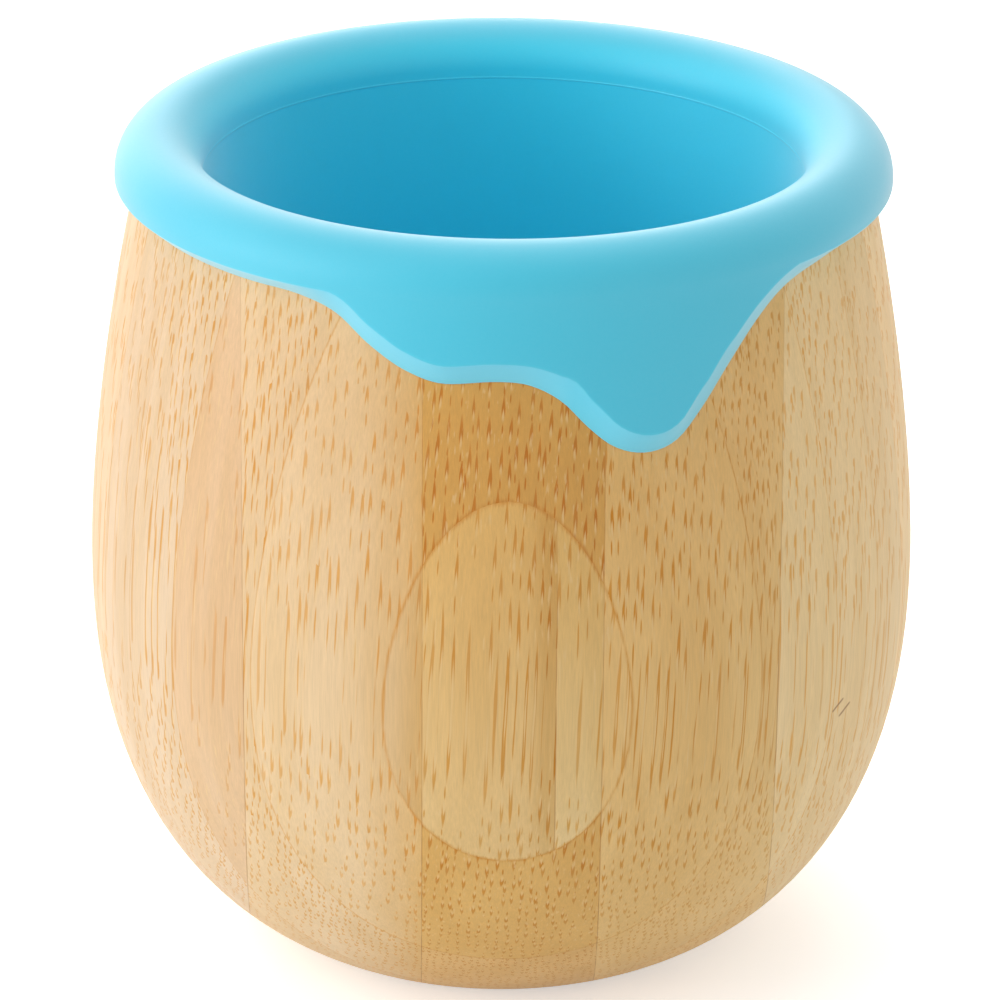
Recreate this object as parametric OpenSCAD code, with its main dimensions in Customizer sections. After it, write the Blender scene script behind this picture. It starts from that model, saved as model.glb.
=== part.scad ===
// Small drinking cup: a turned body of glued bamboo strips with a lift-out silicone liner.
// The liner's rolled rim hangs over the wooden mouth and runs down the outside in drips.
// Lengths are in millimetres. The foot rests on Z = 0, +Z is up and the longest drip faces -Y.

/* [Bamboo body] */
// Widest diameter of the body
belly_d = 85.3; // [82:0.1:90]
// Height of the widest place above the table
belly_h = 41; // [36:0.5:46]
// Diameter of the flat foot
foot_d = 43.4; // [38:0.1:50]
// How far the wooden mouth's edge lies inside the belly, measured across the wall
mouth_inset = 5.3; // [3:0.1:7]
// Height of the wooden mouth above the table
mouth_h = 82; // [76:0.5:90]
// Fullness of the lower half across, where 2 is an ellipse
belly_power = 2.76; // [2.2:0.01:3.2]
// Fullness of the lower half up its height, where 2 is an ellipse
heel_power = 2.3; // [2:0.01:2.6]
// How late the upper half turns in, where 1 is a straight cone
shoulder_power = 1.66; // [1.3:0.01:2]
// Width of the two bevels round the wooden mouth
mouth_bevel = 0.6; // [0.3:0.1:1]
// Thickness of the wooden floor under the liner
wood_floor = 11; // [8:0.5:14]

/* [Glued block] */
// What turning leaves of the foremost layer at its thickest
front_skin = 1.8; // [1.2:0.1:2.4]
// What turning leaves of the hindmost layer at its thickest
back_skin = 5.4; // [3:0.1:7]
// What turning leaves of the far left column at its widest
left_slab = 16.6; // [14:0.1:17.5]
// What turning leaves of the far right column at its widest
right_slab = 15.6; // [14:0.1:17.5]
// Turn of the glued block against the liner's front
block_turn = 1; // [-3:0.5:3]

/* [Silicone liner] */
// How far the rolled rim reaches out past the wooden mouth
rim_overhang = 2.2; // [2:0.1:4]
// Thickness of the rolled rim
roll_d = 8.9; // [8.3:0.1:9.6]
// Height of the rim's top above the wooden mouth
rim_rise = 5; // [4.8:0.1:6]
// Wall of the liner's cup
liner_wall = 2.2; // [1.6:0.1:2.6]
// How much further in the drinking space's wall lies at its floor than under the rim
wall_taper = 3.15; // [1:0.05:5]
// Radius of the round corner at the floor of the drinking space
cavity_corner_r = 9; // [5:0.5:12]
// Clearance between the liner and the wood, all round
liner_gap = 0.2; // [0.1:0.05:0.4]

/* [Drip edge] */
// How far the plain edge reaches below the wooden mouth
plain_drop = 1.5; // [1:0.1:3]
// How much further the longest drip reaches
drip_len = 14.1; // [8:0.1:20]
// Thickness of the skirt outside the wood
skirt_t = 1.8; // [1.2:0.1:2.2]
// Height of the bevel along the skirt's lower edge
bevel_h = 2.4; // [1.6:0.1:3]
// How far the bevel stays below the roll's middle where the edge is plain
bevel_clear = 0.5; // [0.2:0.1:1]

/* [Hidden] */
// Faces of every circle in the preview
$fn = 300;
// Steps of the turned outline below and above the belly
heel_steps = 16;
shoulder_steps = 14;
// Steps of the round corner at the cup's floor
corner_steps = 10;
// Steps round the drip edge
drip_steps = 180;
// Overrun of every cut and every box that ends outside the wood
overrun = 3;
// Thinnest splinter of a strip that is still worth a piece
least_splinter = 0.2;

// Thickness of the layers between the foremost and the hindmost one, from the front, as shares of a strip:
// the first two were planed unevenly
layer_shares = [0.92, 1.085, 1, 1, 1, 1, 1, 1, 1, 1, 1];
column_names = ["far_left", "left", "middle", "right", "far_right"];

// Depth of the drip edge as shares of the longest drip, by degrees from the front to the right.
// The front has a shelf and one long drip, and the back has two more.
drip_shares = [
  [-40, 0], [-31, 0.01], [-25, 0.085], [-19.5, 0.265], [-14, 0.41], [-8, 0.483],
  [-1, 0.458], [4, 0.485], [8.5, 0.605], [12, 0.785], [15.5, 0.93], [20.5, 1],
  [25, 0.94], [29, 0.76], [34, 0.5], [40, 0.245], [46, 0.085], [56, 0.005],
  [78, 0], [98, 0.05], [110, 0.16], [118, 0.38], [126, 0.6], [133, 0.66],
  [141, 0.56], [150, 0.24], [162, 0.05], [176, 0.01], [190, 0.1], [199, 0.34],
  [207, 0.46], [216, 0.47], [224, 0.62], [233, 0.84], [241, 0.79], [250, 0.42],
  [260, 0.12], [274, 0.01], [300, 0]
];

// Turned outline
belly_r = belly_d / 2;
foot_r = foot_d / 2;
mouth_r = belly_r - mouth_inset;
heel_reach = belly_h / pow(1 - pow(foot_r / belly_r, belly_power), 1 / heel_power);
foot_turn = asin(pow(belly_h / heel_reach, heel_power / 2));

function heel_r(z) =
  belly_r * pow(1 - pow((belly_h - z) / heel_reach, heel_power), 1 / belly_power);
function shoulder_r(z) =
  belly_r - (belly_r - mouth_r) * pow((z - belly_h) / (mouth_h - belly_h), shoulder_power);
function body_r(z) = z < belly_h ? heel_r(z) : shoulder_r(z);
function heel_point(turn) = [
  belly_r * pow(cos(turn), 2 / belly_power),
  belly_h - heel_reach * pow(sin(turn), 2 / heel_power)
];

shoulder_top = mouth_h - mouth_bevel;
shoulder_heights = [
  for (i = [1:shoulder_steps]) belly_h + (shoulder_top - belly_h) * i / shoulder_steps
];
body_outline = concat(
  [[0, 0]],
  [for (i = [0:heel_steps]) heel_point(foot_turn * (1 - i / heel_steps))],
  [for (z = shoulder_heights) [body_r(z), z]],
  [[mouth_r - mouth_bevel, mouth_h], [0, mouth_h]]
);

// Liner
rim_r = mouth_r + rim_overhang;
roll_r = roll_d / 2;
roll_x = rim_r - roll_r;
roll_z = mouth_h + rim_rise - roll_r;
cavity_floor_r = roll_x - roll_r - wall_taper;
cavity_z = wood_floor + liner_gap + liner_wall;
wall_lean = atan(wall_taper / (roll_z - cavity_z));
corner_x = cavity_floor_r + cavity_corner_r * (tan(wall_lean) - 1 / cos(wall_lean));
corner_z = cavity_z + cavity_corner_r;
seat_z = mouth_h + liner_gap;

function wall_r(z, grow) =
  cavity_floor_r + (z - cavity_z) * tan(wall_lean) + grow / cos(wall_lean);

// Drip edge
plain_z = mouth_h - plain_drop;
lowest_z = plain_z - drip_len;
bevel_slope = bevel_h / skirt_t;
skirt_bottom = lowest_z - overrun;
skirt_heights = [
  for (i = [0:shoulder_steps]) skirt_bottom + (roll_z - skirt_bottom) * i / shoulder_steps
];
collar_in = mouth_r - skirt_t;
collar_out = belly_r + overrun;
collar_bottom = skirt_bottom - overrun;

knots = len(drip_shares);
function knot_turn(i) =
  drip_shares[(i + knots) % knots][0] + 360 * floor(i / knots);
function knot_share(i) = drip_shares[(i + knots) % knots][1];
function rise(i) = (knot_share(i + 1) - knot_share(i)) / (knot_turn(i + 1) - knot_turn(i));
function knot_slope(i) = rise(i - 1) * rise(i) <= 0 ? 0 : (rise(i - 1) + rise(i)) / 2;
function past_start(turn) =
  let (first = drip_shares[0][0]) turn - 360 * floor((turn - first) / 360);
function knot_before(turn) = max([for (i = [0:knots - 1]) if (knot_turn(i) <= turn) i]);
// Smooth curve through the knots, level at each lowest and highest one
function share_at(turn) =
  let (
    here = past_start(turn),
    i = knot_before(here),
    span = knot_turn(i + 1) - knot_turn(i),
    t = (here - knot_turn(i)) / span
  )
  knot_share(i) * (2 * t ^ 3 - 3 * t ^ 2 + 1) + knot_share(i + 1) * (3 * t ^ 2 - 2 * t ^ 3)
  + span * (knot_slope(i) * (t ^ 3 - 2 * t ^ 2 + t) + knot_slope(i + 1) * (t ^ 3 - t ^ 2));
function edge_z(turn) = plain_z - drip_len * share_at(turn);
// How much a sloping stretch of the edge heightens the bevel, which keeps its width
function bevel_stretch(turn) =
  let (
    ahead = turn + 180 / drip_steps,
    behind = turn - 180 / drip_steps,
    run = mouth_r * (ahead - behind) * PI / 180
  )
  norm([1, (edge_z(ahead) - edge_z(behind)) / run]);

// Glue planes of the block, whose whole strips share what lies between the outermost ones
layer_count = len(layer_shares) + 2;
function share_sum(n) = n <= 0 ? 0 : share_sum(n - 1) + layer_shares[n - 1];
strip_t = (belly_d - front_skin - back_skin) / share_sum(len(layer_shares));
function layer_front(l) =
  l == 1 ? -belly_r - overrun : front_skin - belly_r + strip_t * share_sum(l - 2);
function layer_back(l) = l == layer_count ? belly_r + overrun : layer_front(l + 1);
column_count = len(column_names);
whole_columns = column_count - 2;
strip_w = (belly_d - left_slab - right_slab) / whole_columns;
function column_left(c) =
  c == 0 ? -belly_r - overrun : left_slab - belly_r + strip_w * (c - 1);
function column_right(c) = c == column_count - 1 ? belly_r + overrun : column_left(c + 1);
function nearest(low, high) = max(low, -high, 0);
function strip_is_left(l, c) =
  norm([
    nearest(column_left(c), column_right(c)),
    nearest(layer_front(l), layer_back(l))
  ]) < belly_r - least_splinter;
function strip_name(l, c) = str("strip_", l < 10 ? "0" : "", l, "_", column_names[c]);

// Tone of a strip: paler to the left and right, golden in the middle, no two neighbours alike
function tone(l, c) = 0.94 + 0.03 * ((l * 2 + c * 3) % 5) / 2 - 0.03 * (2 - abs(c - 2));

// Outline of the liner's cup, grown outwards from the drinking space
module cup_outline(grow, top) {
  r = cavity_corner_r + grow;
  corner_turns = [for (i = [0:corner_steps]) (90 - wall_lean) * i / corner_steps];
  polygon(concat(
    [[0, corner_z - r]],
    [for (turn = corner_turns) [corner_x + r * sin(turn), corner_z - r * cos(turn)]],
    [[wall_r(top, grow), top], [0, top]]
  ));
}

// Hole that the liner's cup hangs in, with a bevel at the mouth
module bore() {
  grow = liner_wall + liner_gap;
  bore_r = wall_r(mouth_h, grow);
  rotate_extrude() {
    cup_outline(grow, mouth_h + overrun);
    polygon([
      [0, mouth_h - mouth_bevel],
      [bore_r, mouth_h - mouth_bevel],
      [bore_r + mouth_bevel + overrun, mouth_h + overrun],
      [0, mouth_h + overrun]
    ]);
  }
}

module turned_body() {
  difference() {
    rotate_extrude()
      polygon(body_outline);
    bore();
  }
}

// What turning left of one glued strip
module strip(l, c) {
  shade = tone(l, c);
  color([0.93 * shade, 0.78 * shade, 0.55 * shade])
    intersection() {
      turned_body();
      rotate([0, 0, block_turn])
        translate([column_left(c), layer_front(l), -overrun])
          cube([
            column_right(c) - column_left(c),
            layer_back(l) - layer_front(l),
            mouth_h + 2 * overrun
          ]);
    }
}

// Room that the liner leaves for the wooden wall
module wood_room() {
  polygon(concat(
    [[0, skirt_bottom - overrun], [body_r(skirt_bottom) + liner_gap, skirt_bottom - overrun]],
    [for (z = skirt_heights) if (z < mouth_h) [body_r(z) + liner_gap, z]],
    [[mouth_r + liner_gap, seat_z], [0, seat_z]]
  ));
}

// Band that hangs outside the wood, as deep as the longest drip all round
module skirt_band() {
  below = [for (z = skirt_heights) if (z < mouth_h) z];
  outside = liner_gap + skirt_t;
  polygon(concat(
    [for (z = below) [body_r(z) + outside, z]],
    [[rim_r, roll_z], [roll_x, roll_z], [roll_x, skirt_bottom]]
  ));
}

module liner_section() {
  difference() {
    cup_outline(liner_wall, roll_z);
    cup_outline(0, roll_z);
  }
  difference() {
    union() {
      translate([roll_x, roll_z])
        circle(roll_r);
      skirt_band();
    }
    wood_room();
  }
}

// Everything below the bevelled drip edge, as a ring to cut away
module below_edge() {
  turns = [for (i = [0:drip_steps - 1]) 360 * i / drip_steps];
  function spot(turn, r, z) = [r * sin(turn), -r * cos(turn), z];
  function bevel_z(turn, r) =
    let (z = edge_z(turn), steepest = (roll_z - bevel_clear - z) / skirt_t)
    z + (r - body_r(z) - liner_gap) * min(bevel_slope * bevel_stretch(turn), steepest);
  points = [
    for (turn = turns)
      each [
        spot(turn, collar_in, collar_bottom),
        spot(turn, collar_in, bevel_z(turn, collar_in)),
        spot(turn, collar_out, bevel_z(turn, collar_out)),
        spot(turn, collar_out, collar_bottom)
      ]
  ];
  corners = 4;
  function at(i, k) = (i % drip_steps) * corners + k % corners;
  polyhedron(points, [
    for (i = [0:drip_steps - 1])
      for (k = [0:corners - 1])
        each [
          [at(i, k), at(i + 1, k), at(i + 1, k + 1)],
          [at(i, k), at(i + 1, k + 1), at(i, k + 1)]
        ]
  ]);
}

module silicone_liner() {
  color([0.36, 0.81, 0.9])
    difference() {
      rotate_extrude()
        liner_section();
      below_edge();
    }
}

for (l = [1:layer_count])
  for (c = [0:column_count - 1])
    if (strip_is_left(l, c))
      strip(l, c);
silicone_liner();
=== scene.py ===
# Bamboo cup with a lift-out silicone liner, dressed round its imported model
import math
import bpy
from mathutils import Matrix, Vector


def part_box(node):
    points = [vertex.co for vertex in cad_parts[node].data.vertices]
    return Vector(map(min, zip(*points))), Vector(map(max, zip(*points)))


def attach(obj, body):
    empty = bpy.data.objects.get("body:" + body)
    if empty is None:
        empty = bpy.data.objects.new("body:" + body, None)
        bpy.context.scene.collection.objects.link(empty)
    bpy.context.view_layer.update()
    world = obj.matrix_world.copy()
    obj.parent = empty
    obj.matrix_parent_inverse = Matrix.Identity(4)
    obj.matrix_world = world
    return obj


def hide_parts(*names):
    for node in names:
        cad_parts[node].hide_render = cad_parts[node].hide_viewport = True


bl_info = {
    "name": "Bamboo Cup",
    "version": (1, 0, 0),
    "blender": (4, 5, 0),
    "location": "View3D > Sidebar > Bamboo Cup",
    "description": "Turns a cup from glued bamboo strips and hangs a silicone liner in it",
    "category": "Add Mesh",
}

import bmesh
import bpy
from bpy.props import FloatProperty, FloatVectorProperty, IntProperty, PointerProperty
from bpy.types import Operator, Panel, PropertyGroup
from mathutils import Matrix, Vector

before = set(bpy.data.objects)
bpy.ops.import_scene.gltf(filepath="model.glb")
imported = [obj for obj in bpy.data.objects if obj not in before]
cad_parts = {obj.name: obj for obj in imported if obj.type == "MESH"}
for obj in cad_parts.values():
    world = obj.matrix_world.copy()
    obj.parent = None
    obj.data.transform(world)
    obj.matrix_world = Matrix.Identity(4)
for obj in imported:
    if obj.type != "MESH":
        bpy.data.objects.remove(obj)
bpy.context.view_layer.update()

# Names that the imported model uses
LINER_NODE = "silicone_liner"
WOOD_BODY = "bamboo_body"
LINER_BODY = "liner"
STRIP_NODES = sorted(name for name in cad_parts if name.startswith("strip_"))
COLUMNS = ["far_left", "left", "middle", "right", "far_right"]

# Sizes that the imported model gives, in metres
BELLY_R = max(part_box(name)[1].x for name in STRIP_NODES)
MOUTH_H = max(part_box(name)[1].z for name in STRIP_NODES)
RIM_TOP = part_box(LINER_NODE)[1].z

MM = 0.001

# Thickness of the layers between the foremost and the hindmost one, as shares of a strip
LAYER_SHARES = [0.92, 1.085, 1, 1, 1, 1, 1, 1, 1, 1, 1]

# Depth of the drip edge as shares of the longest drip, by degrees from the front to the right
DRIP_SHARES = [
    (-40, 0), (-31, 0.01), (-25, 0.085), (-19.5, 0.265), (-14, 0.41), (-8, 0.483),
    (-1, 0.458), (4, 0.485), (8.5, 0.605), (12, 0.785), (15.5, 0.93), (20.5, 1),
    (25, 0.94), (29, 0.76), (34, 0.5), (40, 0.245), (46, 0.085), (56, 0.005),
    (78, 0), (98, 0.05), (110, 0.16), (118, 0.38), (126, 0.6), (133, 0.66),
    (141, 0.56), (150, 0.24), (162, 0.05), (176, 0.01), (190, 0.1), (199, 0.34),
    (207, 0.46), (216, 0.47), (224, 0.62), (233, 0.84), (241, 0.79), (250, 0.42),
    (260, 0.12), (274, 0.01), (300, 0),
]


# Kinds of values that a user may change

def length(name, description, default):
    return FloatProperty(name=name, description=description, default=default, unit="LENGTH")


def angle(name, description, degrees):
    return FloatProperty(
        name=name, description=description, default=math.radians(degrees), subtype="ANGLE")


def number(name, description, default):
    return FloatProperty(name=name, description=description, default=default)


def paint(name, description, default):
    return FloatVectorProperty(name=name, description=description, default=default, subtype="COLOR")


class BodySizes(PropertyGroup):
    """Sizes of the turned bamboo body."""

    belly_r: length("Belly radius", "Widest radius of the wood", BELLY_R)
    belly_h: length("Belly height", "Height of the widest place", 41 * MM)
    foot_r: length("Foot radius", "Radius of the flat foot", 21.7 * MM)
    mouth_inset: length("Mouth inset", "How far the mouth's edge lies inside the belly", 5.3 * MM)
    mouth_h: length("Mouth height", "Height of the wooden mouth", MOUTH_H)
    belly_power: number("Belly fullness", "Fullness of the lower half across", 2.76)
    heel_power: number("Heel fullness", "Fullness of the lower half up its height", 2.3)
    shoulder_power: number("Shoulder", "How late the upper half turns in", 1.66)
    edge_round: length("Edge rounding", "Sanded rounding of the mouth's and the foot's edges", 0.6 * MM)
    wood_floor: length("Wooden floor", "Thickness of the floor under the liner", 11 * MM)
    segments: IntProperty(
        name="Segments", description="Faces round the turned body", default=288, min=48)


class BlockSizes(PropertyGroup):
    """Sizes of the glued block that the body is turned from."""

    front_skin: length("Front skin", "What turning leaves of the foremost layer", 1.8 * MM)
    back_skin: length("Back skin", "What turning leaves of the hindmost layer", 5.4 * MM)
    left_slab: length("Left slab", "What turning leaves of the far left column", 16.6 * MM)
    right_slab: length("Right slab", "What turning leaves of the far right column", 15.6 * MM)
    turn: angle("Turn", "Turn of the block against the liner's front", 1)


class LinerSizes(PropertyGroup):
    """Sizes of the silicone liner."""

    rim_overhang: length("Rim overhang", "How far the rim reaches out past the wooden mouth", 2.2 * MM)
    rim_top: length("Rim top", "Height of the rim's top", RIM_TOP)
    roll_r: length("Roll radius", "Radius of the rolled rim's section", 4.45 * MM)
    wall: length("Wall", "Wall of the liner's cup", 2.2 * MM)
    wall_taper: length("Wall taper", "How much further in the wall lies at the floor", 3.15 * MM)
    corner_r: length("Corner radius", "Round corner at the floor of the drinking space", 9 * MM)
    gap: length("Gap", "Clearance between the liner's cup and the bore", 0.2 * MM)
    skirt_gap: length("Skirt gap", "Clearance between the skirt and the wood outside", 0.06 * MM)
    skirt_t: length("Skirt thickness", "How far the skirt stands out from the wood", 2 * MM)
    plain_drop: length("Plain drop", "How far the plain edge reaches below the wooden mouth", 1.5 * MM)
    drip_len: length("Drip length", "How much further the longest drip reaches", 14.1 * MM)
    bevel_h: length("Bevel height", "Height of the bevel along the skirt's lower edge", 2.4 * MM)
    bevel_clear: length("Bevel clearance", "How far the bevel stays below the roll's middle", 0.5 * MM)
    ridge_round: length("Ridge rounding", "Rounding where the bevel starts", 0.14 * MM)
    flash_h: length("Flash height", "Height of the moulding line inside the rim", 0.05 * MM)
    flash_drop: length("Flash drop", "How far the moulding line lies below the roll's middle", 0.6 * MM)
    segments: IntProperty(
        name="Segments", description="Faces round the liner", default=360, min=60)


GROUND = "Ground colour of the bamboo strips there"


class Colours(PropertyGroup):
    """Linear colours of the wood and the silicone, and tints that multiply the wood's ground. The inner and
    the thin silicone colours hold painted light.
    """

    far_left: paint("Far left column", GROUND, (0.733, 0.504, 0.285))
    left: paint("Left column", GROUND, (0.757, 0.497, 0.243))
    middle: paint("Middle column", GROUND, (0.715, 0.405, 0.116))
    right: paint("Right column", GROUND, (0.783, 0.463, 0.149))
    far_right: paint("Far right column", GROUND, (0.86, 0.6, 0.278))
    fibre_tint: paint("Fibre tint", "Hard fibres against the golden ground", (0.77, 0.47, 0.01))
    pale_fibre_tint: paint(
        "Pale fibre tint", "Hard fibres against the paler ground of the outer columns", (0.87, 0.54, 0.09))
    pith: paint("Pith", "Pale core of a bundle", (0.8, 0.55, 0.25))
    glue_tint: paint("Glue tint", "Glue line against the ground", (0.62, 0.44, 0.28))
    silicone: paint("Silicone", "Colour of the liner", (0.022, 0.583, 0.785))
    # Painted light: a brighter blue for the drinking space, for light that the lamps don't bring into the cup
    inner_silicone_painted_light: paint("Inner silicone", "Colour of the drinking space", (0.0, 0.68, 0.89))
    # Painted light: a paler blue on the sides that face down, for light that comes through the thin edge
    thin_silicone_painted_light: paint(
        "Thin silicone", "Colour where the liner thins out towards its lower edge", (0.08, 0.67, 0.9))


class StageSizes(PropertyGroup):
    """Camera, floor and surroundings."""

    distance: length("Distance", "From the camera to the point it looks at", 0.6)
    elevation: angle("Elevation", "How steeply the camera looks down", 22.35)
    roll: angle("Roll", "Roll of the camera", 0.4)
    aim_h: length("Aim height", "Height of the point on the axis that the camera looks at", 45.8 * MM)
    lens: number("Lens", "Focal length in millimetres", 207.4)
    shift: number("Shift", "Shift of the frame to the left", -0.0015)
    floor_size: length("Floor", "Width of the floor", 1.8)
    floor_glow: number("Floor glow", "Light that makes the floor white to the camera", 0.48)
    surroundings: number("Surroundings", "Strength of the white surroundings on the cup", 0.42)


def settings():
    return bpy.context.scene.bamboo_cup


# Curves and turned shapes

def rounded(before, corner, after, steps):
    """Points of a curve that cuts a corner, its two ends included."""
    points = []
    for i in range(steps + 1):
        t = i / steps
        points.append(tuple(
            (1 - t) ** 2 * a + 2 * t * (1 - t) * b + t ** 2 * c
            for a, b, c in zip(before, corner, after)))
    return points


def line(start, end, steps):
    """Points from start towards end, without the end."""
    return [
        tuple(a + (b - a) * i / steps for a, b in zip(start, end))
        for i in range(steps)
    ]


def eased(t, start, end, start_slope, end_slope):
    """A smooth curve from start to end with given slopes there, while t goes from 0 to 1."""
    return (start * (2 * t ** 3 - 3 * t ** 2 + 1) + end * (3 * t ** 2 - 2 * t ** 3)
            + start_slope * (t ** 3 - 2 * t ** 2 + t) + end_slope * (t ** 3 - t ** 2))


def turned_mesh(section_at, segments):
    """A closed mesh whose section, from the axis round to the axis again, may change with the turn."""
    bm = bmesh.new()
    rings = []
    for k in range(segments):
        turn = 2 * math.pi * k / segments
        points = section_at(math.degrees(turn))
        if not rings:
            first = bm.verts.new((0, 0, points[0][1]))
            last = bm.verts.new((0, 0, points[-1][1]))
        rings.append([
            bm.verts.new((r * math.sin(turn), -r * math.cos(turn), z))
            for r, z in points[1:-1]
        ])
    for k, ring in enumerate(rings):
        following = rings[(k + 1) % segments]
        bm.faces.new((first, ring[0], following[0]))
        bm.faces.new((last, following[-1], ring[-1]))
        for i in range(len(ring) - 1):
            bm.faces.new((ring[i], ring[i + 1], following[i + 1], following[i]))
    bmesh.ops.recalc_face_normals(bm, faces=bm.faces)
    for face in bm.faces:
        face.smooth = True
    return bm


def finished_object(bm, name, material):
    mesh = bpy.data.meshes.new(name)
    bm.to_mesh(mesh)
    bm.free()
    mesh.materials.append(material)
    piece = bpy.data.objects.new(name, mesh)
    bpy.context.scene.collection.objects.link(piece)
    return piece


# Outlines that the wood and the liner share

def mouth_r():
    body = settings().body
    return body.belly_r - body.mouth_inset


def body_r(z):
    """Radius of the turned wood at a height."""
    body = settings().body
    if z >= body.belly_h:
        rise = (z - body.belly_h) / (body.mouth_h - body.belly_h)
        return body.belly_r - body.mouth_inset * rise ** body.shoulder_power
    drop = (body.belly_h - z) / heel_reach()
    return body.belly_r * (1 - drop ** body.heel_power) ** (1 / body.belly_power)


def heel_reach():
    """How far below the belly the lower outline would close."""
    body = settings().body
    inside = 1 - (body.foot_r / body.belly_r) ** body.belly_power
    return body.belly_h / inside ** (1 / body.heel_power)


def cup_numbers():
    """Centre of the liner's round corner, its wall's lean, and the rim's middle."""
    liner = settings().liner
    roll_x = mouth_r() + liner.rim_overhang - liner.roll_r
    roll_z = liner.rim_top - liner.roll_r
    floor_z = settings().body.wood_floor + liner.gap + liner.wall
    floor_r = roll_x - liner.roll_r - liner.wall_taper
    lean = math.atan(liner.wall_taper / (roll_z - floor_z))
    corner_x = floor_r + liner.corner_r * (math.tan(lean) - 1 / math.cos(lean))
    return {
        "roll_x": roll_x, "roll_z": roll_z, "lean": lean, "floor_r": floor_r,
        "floor_z": floor_z, "corner_x": corner_x, "corner_z": floor_z + liner.corner_r,
    }


def wall_r(z, grow):
    """Radius of the liner's wall at a height, grown outwards from the drinking space."""
    cup = cup_numbers()
    return cup["floor_r"] + (z - cup["floor_z"]) * math.tan(cup["lean"]) + grow / math.cos(cup["lean"])


def cup_corner(grow, steps):
    """Points of the round corner, from the floor up to the wall."""
    cup = cup_numbers()
    radius = settings().liner.corner_r + grow
    points = []
    for i in range(steps + 1):
        turn = (math.pi / 2 - cup["lean"]) * i / steps
        points.append((
            cup["corner_x"] + radius * math.sin(turn),
            cup["corner_z"] - radius * math.cos(turn)))
    return points


# Glued block

def body_section(_turn):
    """Section of the turned wood: from the foot's middle, up the outside and down the bore."""
    body = settings().body
    liner = settings().liner
    edge = body.edge_round
    heel_rows = 28
    shoulder_rows = 28
    foot_rows = 6
    bore_rows = 8
    corner_rows = 12
    edge_rows = 4
    grow = liner.wall + liner.gap
    points = line((0, 0), (body.foot_r - edge, 0), foot_rows)
    points += rounded((body.foot_r - edge, 0), (body.foot_r, 0), (body_r(edge), edge), edge_rows)
    for i in range(1, heel_rows + 1):
        # Rows lie closer together towards the foot, where the outline turns in fastest
        z = edge + (body.belly_h - edge) * (1 - math.cos(math.pi / 2 * i / heel_rows))
        points.append((body_r(z), z))
    top = body.mouth_h - edge
    for i in range(1, shoulder_rows):
        z = body.belly_h + (top - body.belly_h) * i / shoulder_rows
        points.append((body_r(z), z))
    points += rounded((body_r(top), top), (mouth_r(), body.mouth_h),
                      (mouth_r() - edge, body.mouth_h), edge_rows)
    bore_top = wall_r(body.mouth_h, grow)
    points += rounded((bore_top + edge, body.mouth_h), (bore_top, body.mouth_h),
                      (wall_r(top, grow), top), edge_rows)
    corner = cup_corner(grow, corner_rows)[::-1]
    points += line((wall_r(top, grow), top), corner[0], bore_rows)[1:]
    points += corner
    points += line(corner[-1], (0, body.wood_floor), foot_rows)[1:]
    points.append((0, body.wood_floor))
    return points


def strip_size():
    """Width and thickness of a whole strip."""
    body = settings().body
    block = settings().block
    width = (2 * body.belly_r - block.left_slab - block.right_slab) / (len(COLUMNS) - 2)
    thickness = (2 * body.belly_r - block.front_skin - block.back_skin) / sum(LAYER_SHARES)
    return width, thickness


def layer_planes():
    """Glue planes between the layers, from the front."""
    thickness = strip_size()[1]
    planes = [settings().block.front_skin - settings().body.belly_r]
    for share in LAYER_SHARES:
        planes.append(planes[-1] + share * thickness)
    return planes


def column_planes():
    """Glue planes between the columns, from the left."""
    width = strip_size()[0]
    first = settings().block.left_slab - settings().body.belly_r
    return [first + width * i for i in range(len(COLUMNS) - 1)]


def cut_along(bm, plane, between_columns, keep_above):
    """Keeps one side of a glue plane and closes the cut, whose edges stay crisp."""
    # Points nearer to the plane than this, in metres, count as on it
    reach = 1e-7
    side = -1 if keep_above else 1
    block_turn = Matrix.Rotation(settings().block.turn, 3, "Z")
    normal = block_turn @ Vector((1, 0, 0) if between_columns else (0, 1, 0))
    cut = bmesh.ops.bisect_plane(
        bm, geom=bm.verts[:] + bm.edges[:] + bm.faces[:], dist=reach,
        plane_co=normal * plane, plane_no=normal * side, clear_outer=True)
    rim = [e for e in cut["geom_cut"] if isinstance(e, bmesh.types.BMEdge)]
    if not rim:
        return
    filled = bmesh.ops.triangle_fill(bm, edges=rim, use_beauty=True)
    for face in filled["geom"]:
        if isinstance(face, bmesh.types.BMFace):
            face.smooth = False
            for edge in face.edges:
                edge.smooth = False


def cut_into_strips():
    """Cuts the turned body at the glue planes, and gives a mesh for each strip that turning leaves."""
    layers = layer_planes()
    columns = column_planes()
    whole = turned_mesh(body_section, settings().body.segments)
    found = {}
    for k in range(len(layers) + 1):
        layer = whole.copy()
        if k > 0:
            cut_along(layer, layers[k - 1], between_columns=False, keep_above=True)
        if k < len(layers):
            cut_along(layer, layers[k], between_columns=False, keep_above=False)
        for c, column in enumerate(COLUMNS):
            name = f"strip_{k + 1:02d}_{column}"
            if name not in STRIP_NODES:
                continue
            strip = layer.copy()
            if c > 0:
                cut_along(strip, columns[c - 1], between_columns=True, keep_above=True)
            if c < len(columns):
                cut_along(strip, columns[c], between_columns=True, keep_above=False)
            if not strip.faces or any(len(e.link_faces) != 2 for e in strip.edges):
                raise RuntimeError(f"{name} didn't come out of the block as a closed piece")
            bmesh.ops.recalc_face_normals(strip, faces=strip.faces)
            found[name] = strip
        layer.free()
    whole.free()
    return found


# Liner

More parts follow.
